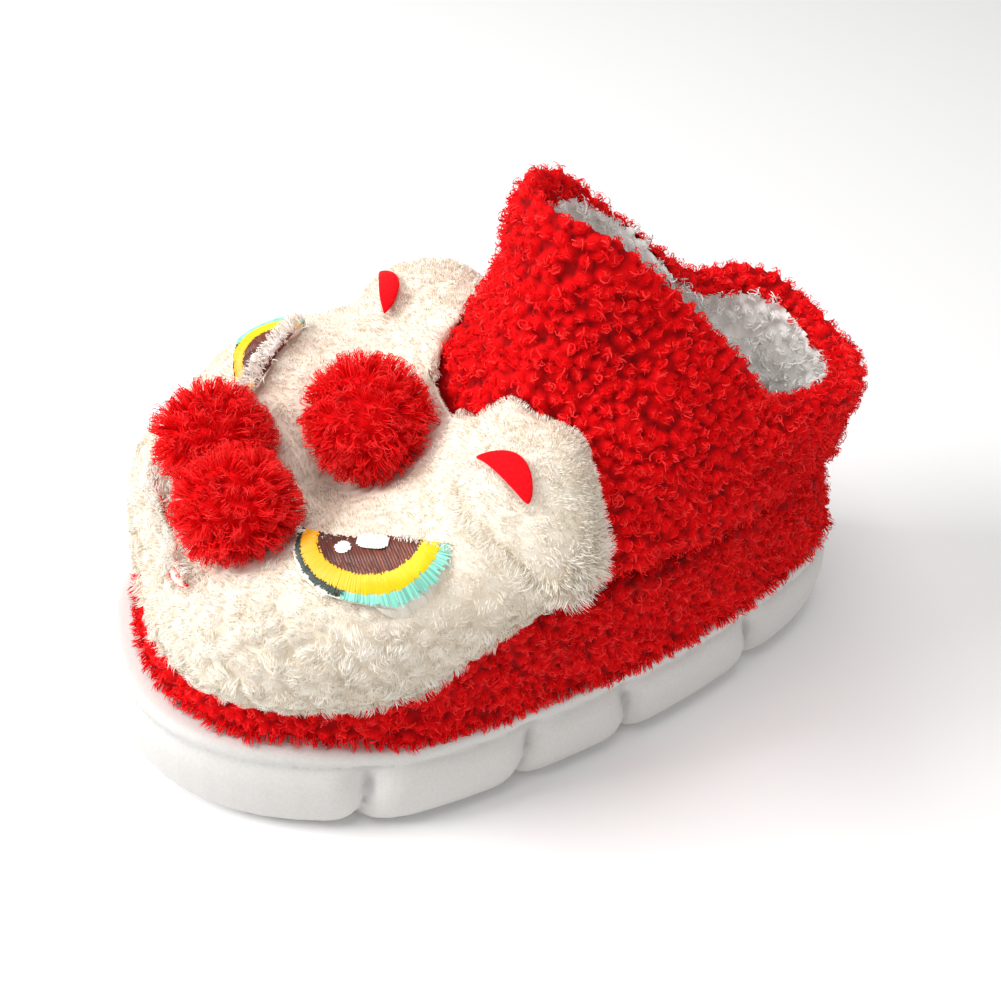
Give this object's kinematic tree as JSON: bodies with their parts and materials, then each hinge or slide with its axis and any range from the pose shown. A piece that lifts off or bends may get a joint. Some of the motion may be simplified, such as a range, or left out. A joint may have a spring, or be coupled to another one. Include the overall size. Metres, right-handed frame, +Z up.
{
  "type": "animal slipper",
  "caption": "Child's plush slipper with a thick moulded sole, a hollow fleece upper with a tall tongue and padded heel, and a stuffed lion-dance face with pompoms.",
  "frame": {"origin": "on the floor under the middle of the slipper's bounding box", "axes": "+Z up, -Y towards the toe, +X towards the wearer's left, which is the outer side of this left slipper"},
  "size_m": [0.1077, 0.2, 0.142],
  "materials": {
    "sole": "matt off-white moulded foam with a fine grain",
    "fleece": "bright red curly fleece",
    "lining": "white curly lining",
    "plush": "cream plush",
    "embroidery": "satin-stitched thread",
    "felt": "red felt",
    "pompom": "curly red yarn"
  },
  "bodies": {
    "root": {"sole": "sole", "upper": "fleece", "insole": "lining", "head": "plush", "ear_left": "plush", "ear_right": "plush", "eye_left": "embroidery", "eye_right": "embroidery", "inner_ear_left": "felt", "inner_ear_right": "felt", "mouth": "felt", "pompom_forehead": "pompom", "pompom_nose_left": "pompom", "pompom_nose_right": "pompom"}
  },
  "joints": []
}
